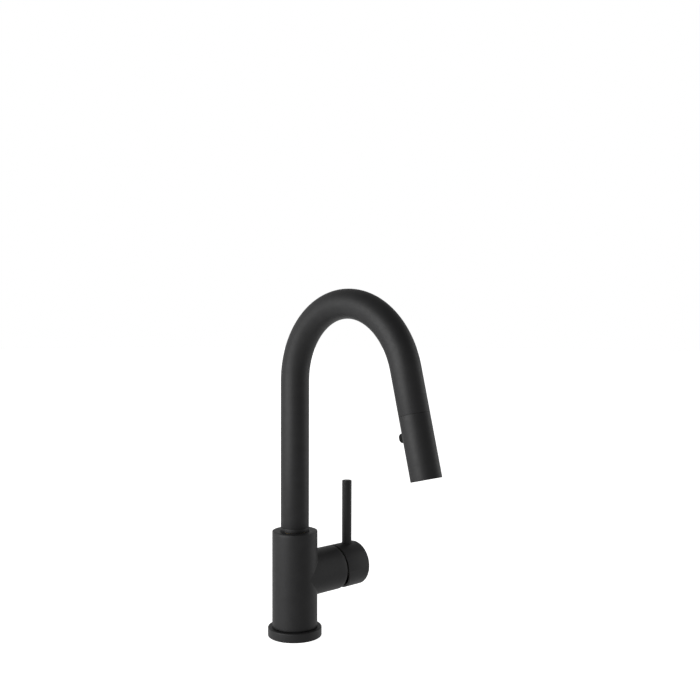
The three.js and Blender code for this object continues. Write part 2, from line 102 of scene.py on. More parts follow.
HEAD_AXIS = Vector(JOINTS["head_turn"]["axis"]).normalized()
OUTLET = Vector(JOINTS["head_turn"]["pos_m"])
HEAD = placed(OUTLET, HEAD_AXIS)
VALVE_Z = JOINTS["handle_turn"]["pos_m"][2]
UP = ((0, 0, 1), (1, 0, 0))
ALONG_HEAD = (tuple(HEAD_AXIS), (1, 0, 0))
ALONG_VALVE = ((1, 0, 0), (0, 0, -1))
ALONG_Y = ((0, 1, 0), (1, 0, 0))
ACROSS_HEAD = (tuple(HEAD.col[1].to_3d()), (1, 0, 0))


def reach_in(place, node):
    """A node's least and greatest coordinates in a frame."""
    inverse = place.inverted()
    corners = [inverse @ vertex.co for vertex in frame["nodes"][node].data.vertices]
    return [Vector([pick(corner[i] for corner in corners) for i in range(3)]) for pick in (min, max)]


def seat(node, axis):
    """A frame on a turned node's own axis. In the tilted head, a box's middle can lie beside that axis."""
    if axis == ALONG_HEAD:
        return HEAD
    if axis == ACROSS_HEAD:
        low, high = reach_in(HEAD, node)
        return placed(HEAD @ Vector((0, 0, (low.z + high.z) / 2)), *axis)
    return placed(middle(node), *axis)


# ---------------------------------------------------------------- outlines

def outline_of(node, place, touch=5e-6, grid=1e-5):
    """The section of a turned node on its frame's -Y side: [radius, height] points in order.

    A flat end has no edge of its own along the section, so its corners are paired from the axis outwards.
    """
    mesh = frame["nodes"][node].data
    inverse = place.inverted()
    links = defaultdict(set)
    for polygon in mesh.polygons:
        corners = [inverse @ mesh.vertices[i].co for i in polygon.vertices]
        for a, b in zip(corners, corners[1:] + corners[:1]):
            if max(abs(a.x), abs(b.x), a.y, b.y) > touch:
                continue
            start, end = [(round(-p.y / grid), round(p.z / grid)) for p in (a, b)]
            if start != end:
                links[start].add(end)
                links[end].add(start)
    open_ends = defaultdict(list)
    for point in sorted(links):
        if len(links[point]) == 1:
            open_ends[point[1]].append(point)
    for height, ends in open_ends.items():
        if len(ends) % 2:
            ends.insert(0, (0, height))
        for a, b in zip(ends[::2], ends[1::2]):
            links[a].add(b)
            links[b].add(a)
    first = min(links)
    path = [first]
    while True:
        ahead = [p for p in sorted(links[path[-1]]) if p not in path]
        if not ahead:
            break
        path.append(ahead[0])
    return [Vector((max(r, 0) * grid, z * grid)) for r, z in path]


def softened(outline, radius, steps=4, straight=math.radians(14)):
    """Rounds the corners of an outline with arcs. Ends on the axis stay as they are."""
    on_axis = outline[0].x < 1e-9
    count = len(outline)
    rounded = []
    for i, corner in enumerate(outline):
        if on_axis and i in (0, count - 1):
            rounded.append(corner)
            continue
        before = corner - outline[i - 1]
        after = outline[(i + 1) % count] - corner
        turn = before.angle_signed(after)
        if abs(turn) < straight:
            rounded.append(corner)
            continue
        back = min(radius * math.tan(abs(turn) / 2), 0.45 * before.length, 0.45 * after.length)
        start = corner - before.normalized() * back
        arc_radius = back / math.tan(abs(turn) / 2)
        side = 1 if turn < 0 else -1
        normal = Vector((-before.y, before.x)).normalized() * side
        centre = start + normal * arc_radius
        for k in range(steps + 1):
            spoke = start - centre
            spoke.rotate(Matrix.Rotation(side * abs(turn) * k / steps, 2))
            rounded.append(centre + spoke)
    return rounded


def with_thread(outline, pitch):
    """Divides the longest stretch along the axis outside the bore, and says where it runs."""
    bore = min(point.x for point in outline)
    runs = [
        i for i, point in enumerate(outline)
        if abs(point.x - outline[i - 1].x) < SAME_PLACE and i
    ]
    longest = max(runs, key=lambda i: abs(outline[i].y - outline[i - 1].y) * (outline[i].x > bore + 0.1 * MM))
    start, end = outline[longest - 1], outline[longest]
    count = round(abs(end.y - start.y) / pitch * THREAD_STEPS)
    inner = [start.lerp(end, k / count) for k in range(1, count)]
    return outline[:longest] + inner + outline[longest:], start, end


# ---------------------------------------------------------------- meshes

def object_of(name, data):
    """A mesh, lamp or camera as an object in the scene."""
    piece = bpy.data.objects.new(name, data)
    bpy.context.scene.collection.objects.link(piece)
    return piece


def shaded(mesh, sharp=math.radians(35)):
    mesh.polygons.foreach_set("use_smooth", [True] * len(mesh.polygons))
    mesh.set_sharp_from_angle(angle=sharp)
    mesh.update()


def solid(name, bm, place=None):
    """A built mesh as an object, with its doubles merged and its faces turned outwards."""
    bmesh.ops.remove_doubles(bm, verts=bm.verts, dist=SAME_PLACE)
    bmesh.ops.dissolve_degenerate(bm, edges=bm.edges, dist=1e-8)
    bmesh.ops.recalc_face_normals(bm, faces=bm.faces)
    mesh = bpy.data.meshes.new(name)
    bm.to_mesh(mesh)
    bm.free()
    if place:
        mesh.transform(place)
    shaded(mesh)
    return object_of(name, mesh)


def strip(bm, lines):
    """Quads between neighbouring lines of points."""
    rows = [[bm.verts.new(point) for point in line] for line in lines]
    for one, other in zip(rows, rows[1:]):
        for i in range(len(one) - 1):
            bm.faces.new((one[i], one[i + 1], other[i + 1], other[i]))


def around(radius, angle, height):
    return Vector((radius * math.cos(angle), radius * math.sin(angle), height))


def turned(name, outline, place=None, sides=TURNED_SIDES, relief=None):
    """A solid turned about Z from an outline. relief(angle, point) is how far the skin drops there."""
    closed = outline if outline[0].x < 1e-9 else outline + outline[:1]
    bm = bmesh.new()
    lines = []
    for k in range(sides + 1):
        angle = 2 * math.pi * (k % sides) / sides
        drop = [relief(angle, point) if relief else 0 for point in closed]
        lines.append([around(point.x - d, angle, point.y) for point, d in zip(closed, drop)])
    strip(bm, lines)
    return solid(name, bm, place)


def applied(piece):
    """Freezes a piece's modifiers into its mesh."""
    evaluated = piece.evaluated_get(bpy.context.evaluated_depsgraph_get())
    mesh = bpy.data.meshes.new_from_object(evaluated)
    piece.modifiers.clear()
    piece.data = mesh
    finish = [material for material in mesh.materials if material]
    mesh.materials.clear()
    for material in finish:
        mesh.materials.append(material)
    mesh.polygons.foreach_set("material_index", [0] * len(mesh.polygons))
    shaded(mesh)
    return piece


def carved(piece, *cutters):
    """Cuts solids out of a piece."""
    for cutter in cutters:
        modifier = piece.modifiers.new("cut", "BOOLEAN")
        modifier.operation = "DIFFERENCE"
        modifier.solver = "EXACT"
        modifier.object = cutter
        applied(piece)
        bpy.data.objects.remove(cutter)
    return piece


def eased(piece, width):
    """Rounds the sharp edges of a piece."""
    modifier = piece.modifiers.new("ease", "BEVEL")
    modifier.width = width
    modifier.segments = 3
    modifier.limit_method = "ANGLE"
    modifier.angle_limit = math.radians(40)
    modifier.use_clamp_overlap = True
    return applied(piece)


def block(x, y, z, place=None):
    """A cutter with flat sides, between two limits along each axis."""
    bm = bmesh.new()
    bmesh.ops.create_cube(bm, size=1)
    size = Matrix.Diagonal((x[1] - x[0], y[1] - y[0], z[1] - z[0], 1))
    centre = Vector((sum(x), sum(y), sum(z))) / 2
    bm.transform(Matrix.Translation(centre) @ size)
    return solid("block", bm, place)


def drill(radius, low, high, place, sides=64):
    """A round or six-sided cutter between two heights along its frame's Z."""
    outline = [Vector((0, low)), Vector((radius, low)), Vector((radius, high)), Vector((0, high))]
    return turned("drill", outline, place, sides)


def rounded_rectangle(width, height, radius, corner_steps=8):
    """Points round a rectangle with round corners, in the XY plane."""
    points = []
    for quarter in range(4):
        sign_x = 1 if quarter in (0, 3) else -1
        sign_y = 1 if quarter in (0, 1) else -1
        centre = Vector((sign_x * (width / 2 - radius), sign_y * (height / 2 - radius)))
        for k in range(corner_steps + 1):
            angle = math.pi / 2 * (quarter + k / corner_steps)
            points.append(centre + radius * Vector((math.cos(angle), math.sin(angle))))
    return points


def stacked(name, rings, place=None):
    """A solid skinned over rings of points, with a face on each end."""
    bm = bmesh.new()
    rows = [[bm.verts.new(point) for point in ring] for ring in rings]
    count = len(rows[0])
    for one, other in zip(rows, rows[1:]):
        for i in range(count):
            bm.faces.new((one[i], one[(i + 1) % count], other[(i + 1) % count], other[i]))
    bm.faces.new(rows[0])
    bm.faces.new(rows[-1])
    return solid(name, bm, place)


# ---------------------------------------------------------------- geometry trees

def add(tree, kind, settings=None, inputs=None):
    """Adds a node, with its settings, and its inputs' values or the outputs linked to them."""
    node = tree.nodes.new(kind)
    for name, value in (settings or {}).items():
        setattr(node, name, value)
    for name, value in (inputs or {}).items():
        if isinstance(value, bpy.types.NodeSocket):
            tree.links.new(value, node.inputs[name])
        else:
            node.inputs[name].default_value = value
    return node


def maths(tree, operation, *values):
    node = add(tree, "ShaderNodeMath", {"operation": operation}, dict(enumerate(values)))
    return node.outputs[0]


def mapped(tree, source, from_low, from_high, low, high):
    """Carries one range of a value to another."""
    node = add(
        tree, "ShaderNodeMapRange", None,
        {"Value": source, "From Min": from_low, "From Max": from_high, "To Min": low, "To Max": high},
    )
    return node.outputs[0]


def swept(tree, line, section, caps=False):
    """A section drawn out along a line."""
    ends = {"Curve": line.outputs[0], "Profile Curve": section.outputs[0], "Fill Caps": caps}
    return add(tree, "GeometryNodeCurveToMesh", None, ends).outputs[0]


def geometry_tree(name, **sizes):
    """A tree with a geometry, named sizes and a material as its inputs. A whole number makes a count."""
    tree = bpy.data.node_groups.new(name, "GeometryNodeTree")
    tree.interface.new_socket("Geometry", in_out="INPUT", socket_type="NodeSocketGeometry")
    for size, value in sizes.items():
        kind = "NodeSocketInt" if isinstance(value, int) else "NodeSocketFloat"
        tree.interface.new_socket(size, in_out="INPUT", socket_type=kind)
    tree.interface.new_socket("Material", in_out="INPUT", socket_type="NodeSocketMaterial")
    tree.interface.new_socket("Geometry", in_out="OUTPUT", socket_type="NodeSocketGeometry")
    return tree, tree.nodes.new("NodeGroupInput").outputs


def end_tree(tree, geometry, material):
    """Makes the instances real, gives them their material and hands them on."""
    real = add(tree, "GeometryNodeRealizeInstances", None, {"Geometry": geometry})
    coloured = add(tree, "GeometryNodeSetMaterial", None, {"Geometry": real.outputs[0], "Material": material})
    add(tree, "NodeGroupOutput", None, {"Geometry": coloured.outputs[0]})


def grown(piece, tree, sizes, material, *finishing):
    """Runs a geometry tree on a piece, then any finishing modifiers, and keeps the plain mesh."""
    modifier = piece.modifiers.new(tree.name, "NODES")
    modifier.node_group = tree
    for socket in tree.interface.items_tree:
        if socket.in_out == "INPUT" and socket.name in sizes:
            modifier[socket.identifier] = sizes[socket.name]
        if socket.in_out == "INPUT" and socket.name == "Material":
            modifier[socket.identifier] = material
    for kind, settings in finishing:
        later = piece.modifiers.new(kind.lower(), kind)
        for name, value in settings.items():
            setattr(later, name, value)
    return applied(piece)


def line_object(name, points, edges=True):
    mesh = bpy.data.meshes.new(name)
    links = [(i, i + 1) for i in range(len(points) - 1)] if edges else []
    mesh.from_pydata([tuple(point) for point in points], links, [])
    return object_of(name, mesh)


# ---------------------------------------------------------------- materials

def linear(colour):
    """An sRGB hex colour as linear red, green, blue and alpha."""
    channels = [int(colour[i:i + 2], 16) / 255 for i in (1, 3, 5)]
    return tuple(c / 12.92 if c <= 0.04045 else ((c + 0.055) / 1.055) ** 2.4 for c in channels) + (1,)


def per_metre(millimetres):
    """A pattern's scale from the size of one of its features."""
    return 1 / (millimetres * MM)


def new_material(name, colour, roughness, **uniform):
    material = bpy.data.materials.new(name)
    material.use_nodes = True
    tree = material.node_tree
    shader = tree.nodes["Principled BSDF"]
    shader.inputs["Base Color"].default_value = linear(colour)
    shader.inputs["Roughness"].default_value = roughness
    for name, value in uniform.items():
        shader.inputs[name.replace("_", " ")].default_value = value
    material.diffuse_color = linear(colour)
    place = tree.nodes.new("ShaderNodeTexCoord").outputs["Object"]
    return material, tree, shader, place


def noise(tree, place, feature_mm, detail=2.0, stretch=None, axis=None):
    """Noise whose features have a real size. stretch draws it out along the local axes of a piece."""
    if stretch:
        turn = placed((0, 0, 0), *axis).inverted().to_euler()
        turned_in = add(
            tree, "ShaderNodeMapping", {"vector_type": "POINT"}, {"Vector": place, "Rotation": turn},
        )
        scaled = add(tree, "ShaderNodeMapping", None, {"Vector": turned_in.outputs[0], "Scale": stretch})
        place = scaled.outputs[0]
    texture = add(
        tree, "ShaderNodeTexNoise", None,
        {"Vector": place, "Scale": per_metre(feature_mm), "Detail": detail},
    )
    return texture.outputs[0]


NOISE_RANGE = (0.3, 0.7)


def spread(tree, source, low, high):
    """Maps noise from 0.3-0.7, where most of it lies, to a range."""
    return mapped(tree, source, *NOISE_RANGE, low, high)


def tinted(tree, shader, source, dark, light):
    """Varies a piece's colour between two tones."""
    ramp = add(tree, "ShaderNodeValToRGB", None, {"Fac": source})
    for stop, position, tone in zip(ramp.color_ramp.elements, NOISE_RANGE, (dark, light)):
        stop.position = position
        stop.color = linear(tone)
    tree.links.new(ramp.outputs[0], shader.inputs["Base Color"])


def raised(tree, shader, height, depth_mm, strength=1.0, under=None):
    """Gives the surface a relief of a real depth."""
    inputs = {"Height": height, "Distance": depth_mm * MM, "Strength": strength}
    if under:
        inputs["Normal"] = under.outputs[0]
    bump = add(tree, "ShaderNodeBump", None, inputs)
    tree.links.new(bump.outputs[0], shader.inputs["Normal"])
    return bump


def powder_coat():
    """Matt black polyester powder, baked on brass: it melts into a fine orange peel with a soft sheen.

    The grain of real powder is near 0.1 mm, too fine to show, so it is drawn at 0.45 mm.
    """
    material, tree, shader, place = new_material("matt_black_powder_coat", "#1d1d1e", 0.5)
    tinted(tree, shader, noise(tree, place, 9, 3), "#1a1a1b", "#202021")
    tree.links.new(spread(tree, noise(tree, place, 3), 0.47, 0.54), shader.inputs["Roughness"])
    peel = raised(tree, shader, noise(tree, place, 2.2, 1), 0.03)
    raised(tree, shader, noise(tree, place, 0.45, 1), 0.012, 1.0, peel)
    return material


def polished_abs_painted_shade():
    """Black ABS from a polished mould, with a clear gloss and faint flow waves. Its near-pure black is partly the
    plastic's own black and partly painted shade, darker than the satin black ABS.
    """
    # Painted shade: the colour #030303 lies well below the plastic's own black, so the button's side away from the
    # light comes out pure black.
    material, tree, shader, place = new_material(
        "polished_black_abs", "#030303", 0.16, Specular_IOR_Level=0.25,
    )
    tree.links.new(spread(tree, noise(tree, place, 5), 0.13, 0.2), shader.inputs["Roughness"])
    raised(tree, shader, noise(tree, place, 4, 0), 0.01)
    return material


def satin_abs():
    """Black ABS from a spark-eroded mould, which leaves a fine even grain."""
    material, tree, shader, place = new_material("satin_black_abs", "#151516", 0.42)
    tinted(tree, shader, noise(tree, place, 6), "#131314", "#18181a")
    raised(tree, shader, noise(tree, place, 0.3, 1), 0.015)
    return material


def moulded_rubber():
    """EPDM rubber, pressed in a mould: black, with a dull bloom in patches."""
    material, tree, shader, place = new_material("epdm_rubber", "#161616", 0.78)
    tinted(tree, shader, noise(tree, place, 4, 4), "#121212", "#1f1f1e")
    tree.links.new(spread(tree, noise(tree, place, 7), 0.68, 0.86), shader.inputs["Roughness"])
    raised(tree, shader, noise(tree, place, 0.6, 2), 0.03)
    return material


def turned_metal(name, dark, light, roughness, axis):
    """Bar metal off a lathe: fine tool marks run round the piece and smear its highlights."""
    material, tree, shader, place = new_material(name, light, roughness, Metallic=1.0)
    tinted(tree, shader, noise(tree, place, 12, 3), dark, light)
    marks = noise(tree, place, 1, 2, (0.06, 0.06, 4), axis)
    tree.links.new(spread(tree, marks, roughness - 0.07, roughness + 0.09), shader.inputs["Roughness"])
    raised(tree, shader, marks, 0.012)
    return material


def turned_brass(axis):
    """Free-cutting brass, uncoated, a little dulled by handling."""
    return turned_metal("turned_brass", "#b08d4f", "#d3b070", 0.3, axis)


def stainless(axis):
    """Stainless steel 304, turned or pressed and left bright."""
    return turned_metal("stainless_steel_304", "#b6b8ba", "#d5d6d6", 0.26, axis)


def acetal():
    """Natural acetal: milky white, slightly soft-looking, with a waxy satin skin."""
    material, tree, shader, place = new_material("natural_acetal", "#e4e1d6", 0.4, Subsurface_Weight=0.15)
    shader.inputs["Subsurface Radius"].default_value = (1 * MM, 0.9 * MM, 0.7 * MM)
    tinted(tree, shader, noise(tree, place, 10), "#dedbcf", "#e8e5db")
    raised(tree, shader, noise(tree, place, 0.8, 1), 0.01)
    return material


def alumina():
    """Alumina ceramic, lapped flat: ivory white, with a hard even shine."""
    material, tree, shader, place = new_material("lapped_alumina", "#efece2", 0.14, IOR=1.76)
    tinted(tree, shader, noise(tree, place, 3, 4), "#e9e5d9", "#f3f0e8")
    return material


def ferrite():
    """Sintered ferrite: charcoal grey and finely porous."""
    material, tree, shader, place = new_material("sintered_ferrite", "#3a3b3e", 0.55, Metallic=0.4)
    tinted(tree, shader, noise(tree, place, 0.5, 4), "#303134", "#46474a")
    raised(tree, shader, noise(tree, place, 0.5, 3), 0.03)
    return material


def nylon_braid():
    """Grey nylon yarn, braided over the hose: strands cross in a lozenge pattern with a silky glint.

    The piece's UV map counts strands round the hose and picks along it, so the lozenges keep their size.
    """
    material, tree, shader, place = new_material(
        "braided_nylon", "#54565a", 0.5, Sheen_Weight=0.3, Sheen_Roughness=0.4,
    )
    uv = tree.nodes.new("ShaderNodeUVMap")
    uv.uv_map = "braid"
    split = add(tree, "ShaderNodeSeparateXYZ", None, {"Vector": uv.outputs[0]})
    strands = []
    for operation in ("ADD", "SUBTRACT"):
        across = maths(tree, operation, split.outputs[0], split.outputs[1])
        wave = maths(tree, "COSINE", maths(tree, "MULTIPLY", across, math.pi))
        strands.append(maths(tree, "ABSOLUTE", wave))
    crossing = maths(tree, "MAXIMUM", *strands)
    tinted(tree, shader, crossing, "#2c2d30", "#6b6d71")
    yarn = raised(tree, shader, noise(tree, place, 0.25, 1), 0.02)
    raised(tree, shader, crossing, 0.25, 1.0, yarn)
    return material


FINISHES = {
    "black_coating": powder_coat,
    "brass": turned_brass,
    "stainless_steel": stainless,
    "black_rubber": moulded_rubber,
    "gloss_black_polymer": polished_abs_painted_shade,
    "black_polymer": satin_abs,
    "white_polymer": acetal,
    "alumina_ceramic": alumina,
    "ferrite_magnet": ferrite,
    "nylon_braid": nylon_braid,
}
AXIAL = ("brass", "stainless_steel")
made_finishes = {}


def finish_of(node, axis=UP):
    """The finish of a node's slot. Turned metals have one for each direction of their axis."""
    name = SLOT_OF[node]
    key = (name, axis) if name in AXIAL else name
    if key not in made_finishes:
        made_finishes[key] = FINISHES[name](axis) if name in AXIAL else FINISHES[name]()
    return made_finishes[key]


# ---------------------------------------------------------------- fitting pieces to the frame

def fitted(piece, node, axis=UP, keep_materials=False):
    """Stands a piece in for a node: its finish and its moving body."""
    if not keep_materials:
        piece.data.materials.clear()
        piece.data.materials.append(finish_of(node, axis))
    SLOT_OF[node]
    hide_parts(node)
    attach(piece, BODY_OF[node])
    return piece


def turned_again(node, axis, soft_mm=0.15, name=None, sides=TURNED_SIDES):
    """A turned node with fine sides and soft corners."""
    place = seat(node, axis)
    outline = softened(outline_of(node, place), soft_mm * MM)
    return fitted(turned(name or "fine_" + node, outline, place, sides), node, axis)


def socket_screw(node, axis, end):
    """A headless screw with a hexagon socket in one end of it along its axis."""
    place = placed(middle(node), *axis)
    high = reach_in(place, node)[1]
    half, radius = high.z, high.x
    outline = [Vector(p) for p in ((0, -half), (radius, -half), (radius, half), (0, half))]
    screw = threaded("fine_" + node, softened(outline, 0.4 * MM), place, *SCREW_THREAD)
    socket_r, socket_depth = 1.25 * MM, 2 * MM
    reach = sorted((end * (half - socket_depth), end * (half + MM)))
    return fitted(carved(screw, drill(socket_r, *reach, place, 6)), node, axis)


def threaded(name, plain, place, pitch, depth, sides=96):
    """A turned solid with a thread cut along its longest outside stretch."""
    outline, start, end = with_thread(plain, pitch)
    low, high = sorted((start.y, end.y))

    def groove(angle, point):
        inside = min(point.y - low, high - point.y) / pitch
        if abs(point.x - start.x) > SAME_PLACE or inside <= 0:
            return 0
        phase = (point.y / pitch - angle / (2 * math.pi)) % 1
        return depth * min(1, inside) * (1 - abs(2 * phase - 1))

    return turned(name, outline, place, sides, groove)


# ---------------------------------------------------------------- body

def body_skin():
    """The column and the valve's cross housing, of one radius, as one casting with a fillet in the saddle.

    A ball of the fillet's radius rolls between two equal cylinders along a path with a simple form, so each
    angle round the column gives one line up its side, one arc over the fillet and one line out along the
    housing.
    """
    low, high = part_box("body_shell")
    radius = -low.x
    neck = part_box("upper_bush")[1].x + RUNNING_GAP
    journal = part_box("swivel_end")[1].x
    swivel_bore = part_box("swivel_seal_1")[1].x + 0.1 * MM
    hose_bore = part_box("pullout_hose")[1].x + HOSE_CLEARANCE
    shank_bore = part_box("threaded_shank")[1].x + RUNNING_GAP
    shank_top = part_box("threaded_shank")[1].z + RUNNING_GAP
    journal_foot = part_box("lower_bush")[0].z - 1 * MM
    swivel_floor = 40 * MM
    valve_bore = 17.8 * MM
    valve_floor = 14.3 * MM
    edge, foot_rim, rim = 0.5 * MM, 2 * MM, 4 * MM
    outside_low = [
        Vector((hose_bore, swivel_floor)), Vector((hose_bore, shank_top)), Vector((shank_bore, shank_top)),
        Vector((shank_bore, low.z)), Vector((radius, low.z)), Vector((radius, low.z + foot_rim)),
    ]
    lip = journal + RUNNING_GAP
    lip_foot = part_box("upper_bush")[1].z + RUNNING_GAP
    outside_high = [
        Vector((radius, high.z - rim)), Vector((radius, high.z)), Vector((lip, high.z)),
        Vector((lip, lip_foot)), Vector((neck, lip_foot)), Vector((neck, journal_foot)),
        Vector((swivel_bore, journal_foot)), Vector((swivel_bore, swivel_floor)),
        Vector((hose_bore, swivel_floor)),
    ]
    mouth = [
        Vector((high.x - rim, radius)), Vector((high.x, radius)), Vector((high.x, valve_bore)),
        Vector((valve_floor, valve_bore)), Vector((valve_floor, 0)),
    ]
    outside_low, outside_high, mouth = [
        open_softened(line, edge) for line in (outside_low, outside_high, mouth)
    ]
    bm = bmesh.new()
    half = BODY_SIDES // 2
    front = [math.pi * (k / half - 0.5) for k in range(half + 1)]
    back = [angle + math.pi for angle in front]
    waist = Vector((radius, VALVE_Z))
    for line in (outside_low + [waist], [waist] + outside_high):
        strip(bm, [[around(p.x, angle, p.y) for p in line] for angle in back])
    for side in (-1, 1):
        column = outside_low if side < 0 else outside_high[::-1]
        lines = []
        for angle in front:
            line = [around(p.x, angle, p.y) for p in column]
            line += saddle_arc(radius, angle, side)
            line += [
                Vector((p.x, p.y * math.sin(angle), VALVE_Z + side * p.y * math.cos(angle))) for p in mouth
            ]
            lines.append(line)
        strip(bm, lines)
    return solid("fine_body_shell", bm)


def open_softened(line, radius):
    """Rounds the corners inside an open line."""
    ends = softened(line, radius, 3)
    first = next(i for i, point in enumerate(ends) if (point - line[1]).length < 2 * radius)
    last = max(i for i, point in enumerate(ends) if (point - line[-2]).length < 2 * radius)
    return [line[0]] + ends[first:last + 1] + [line[-1]]


def saddle_arc(radius, angle, side, steps=6):
    """The fillet's arc between the column and the housing, at one angle round the column."""
    fillet = SADDLE_FILLET
    c, s = math.cos(angle), math.sin(angle)
    centre = Vector(((radius + fillet) * c, (radius + fillet) * s, side * (radius + fillet) * c))
    to_column = Vector((-c, -s, 0))
    to_housing = Vector((0, -s, -side * c))
    sweep = to_column.angle(to_housing) if c > 1e-6 else 0
    arc = []
    for k in range(steps + 1):
        share = k / steps
        if sweep < 1e-6:
            direction = to_column
        else:
            direction = (
                to_column * math.sin((1 - share) * sweep) + to_housing * math.sin(share * sweep)
            ) / math.sin(sweep)
        arc.append(centre + direction * fillet + Vector((0, 0, VALVE_Z)))
    return arc


def make_body():
    """The body with its sockets, the flange, the spout's bushes and the stop screw."""
    skin = body_skin()
    socket_foot = 12 * MM
    for node in NIPPLES:
        low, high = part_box(node)
        socket = placed((middle(node).x, middle(node).y, 0), *UP)
        radius = (high.x - low.x) / 2 + RUNNING_GAP
        carved(skin, drill(radius, socket_foot, high.z + RUNNING_GAP, socket))
    screw_low, screw_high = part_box("spout_stop_screw")
    bore = placed((0, 0, middle("spout_stop_screw").z), *ALONG_Y)
    carved(skin, drill(screw_high.x + RUNNING_GAP, screw_low.y, -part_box("body_shell")[0].x + MM, bore, 32))
    fitted(skin, "body_shell")
    turned_again("base_flange", UP, 0.6, sides=BODY_SIDES)
    for node in ("upper_bush", "lower_bush"):
        turned_again(node, UP, 0.3)
    socket_screw("spout_stop_screw", ALONG_Y, 1)


# ---------------------------------------------------------------- spout

TUBE_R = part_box("spout_base_ring")[1].x
BEND_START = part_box("spout_tube")[1].z - TUBE_R - BEND_RADIUS
LAST_STRAIGHT = (-OUTLET.y - BEND_RADIUS * (1 - math.cos(BEND_SWEEP))) / math.sin(BEND_SWEEP)
BEND_LENGTH = BEND_RADIUS * BEND_SWEEP


def on_spout_line(distance):
    """The point of the spout's centre line this far past the start of its bend, and its direction."""
    angle = min(max(distance / BEND_RADIUS, 0), BEND_SWEEP)
    direction = Vector((0, -math.sin(angle), math.cos(angle)))
    point = Vector((0, BEND_RADIUS * (math.cos(angle) - 1), BEND_START + BEND_RADIUS * math.sin(angle)))
    past = distance - angle * BEND_RADIUS
    return point + direction * past, direction


def tube_tree():
    """A round tube along a line."""
    tree, given = geometry_tree("tube_along_line", Radius=0.1, Sides=8)
    line = add(tree, "GeometryNodeMeshToCurve", None, {"Mesh": given["Geometry"]})
    section = add(
        tree, "GeometryNodeCurvePrimitiveCircle", None,
        {"Resolution": given["Sides"], "Radius": given["Radius"]},
    )
    end_tree(tree, swept(tree, line, section), given["Material"])
    return tree


def make_spout():
    """The bent tube: two straights and an even bend, with a wall and eased ends."""
    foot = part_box("spout_tube")[0].z
    head_top = reach_in(HEAD, "head_shell")[1].z
    end = BEND_LENGTH + LAST_STRAIGHT - head_top - SEAM
    bend_steps = 120
    distances = [foot - BEND_START, (foot - BEND_START) / 2]
    distances += [BEND_LENGTH * k / bend_steps for k in range(bend_steps + 1)] + [end]
    line = line_object("fine_spout_tube", [on_spout_line(d)[0] for d in distances])
    sizes = {"Radius": TUBE_R, "Sides": TURNED_SIDES}
    wall = ("SOLIDIFY", {"thickness": TUBE_WALL, "offset": -1, "use_even_offset": True})
    ends = (
        "BEVEL",
        {"width": 0.1 * MM, "segments": 3, "limit_method": "ANGLE", "angle_limit": math.radians(60)},
    )
    grown(line, tube_tree(), sizes, finish_of("spout_tube"), wall, ends)
    fitted(line, "spout_tube")
    turned_again("spout_base_ring", UP, 0.1)
    turned_again("swivel_end", UP, 0.3)
    for node in ("swivel_seal_1", "swivel_seal_2"):
        turned_again(node, UP, 0.7)


# ---------------------------------------------------------------- hose

BRAID_STRANDS = 16
BRAID_PICK = 2.6 * MM


def hose_piece(name, stations):
    """A stretch of hose through stations: distances along the spout's line, each with its length of hose."""
    sides = 48
    bm = bmesh.new()
    uv = bm.loops.layers.uv.new("braid")
    rows = []
    for distance, length in stations:
        centre, direction = on_spout_line(distance)
        across = direction.cross(Vector((1, 0, 0)))
        row = []
        for k in range(sides):
            angle = 2 * math.pi * k / sides
            spoke = Vector((1, 0, 0)) * math.cos(angle) + across * math.sin(angle)
            row.append(bm.verts.new(centre + spoke * HOSE_R))
        rows.append((row, length / BRAID_PICK))
    for (one, v0), (other, v1) in zip(rows, rows[1:]):
        for k in range(sides):
            face = bm.faces.new((one[k], one[(k + 1) % sides], other[(k + 1) % sides], other[k]))
            for loop, (u, v) in zip(face.loops, ((k, v0), (k + 1, v0), (k + 1, v1), (k, v1))):
                loop[uv].uv = (u * BRAID_STRANDS / sides, v)
    bm.faces.new(rows[0][0])
    bm.faces.new(rows[-1][0])
    hose = solid(name, bm)
    hose.data.materials.append(finish_of("pullout_hose"))
    SLOT_OF["pullout_hose"]
    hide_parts("pullout_hose")
    return hose


def make_hose():
    """The braided hose, from its plug to its ferrule, in two stretches.

    The upper one, past the bend, holds the length that comes out with the head: its rings and its UV map are
    spaced for the pulled-out hose.
    """
    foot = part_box("pullout_hose")[0].z - BEND_START
    top = BEND_LENGTH + LAST_STRAIGHT - reach_in(HEAD, "hose_ferrule")[1].z - RUNNING_GAP
    free_end, pulled = BEND_LENGTH + 0.5 * MM, JOINTS["spray_pull"]["range_m"][1]
    ring_step = 1 * MM
    count = round((free_end - foot) / (2 * ring_step))
    lengths = [(free_end - foot) * k / count for k in range(count + 1)]
    stations = [(foot + length, length) for length in lengths]
    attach(hose_piece("hose_in_spout", stations), "spout")
    straight = top - free_end
    stations = []
    steps = 400
    target = 0
    for k in range(steps + 1):
        share = k / steps
        reach = share * straight + pulled * share * share * (3 - 2 * share)
        if reach >= target or k == steps:
            stations.append((free_end + share * straight, free_end - foot + reach))
            target = reach + ring_step
    free = hose_piece("hose_past_bend", stations)
    on_spout_line(free_end)[0]
    on_spout_line(top)[0]
    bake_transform(free)
    turned_again("hose_connector", UP, 0.25)
    turned_again("hose_ferrule", ALONG_HEAD, 0.25)


# ---------------------------------------------------------------- spray head

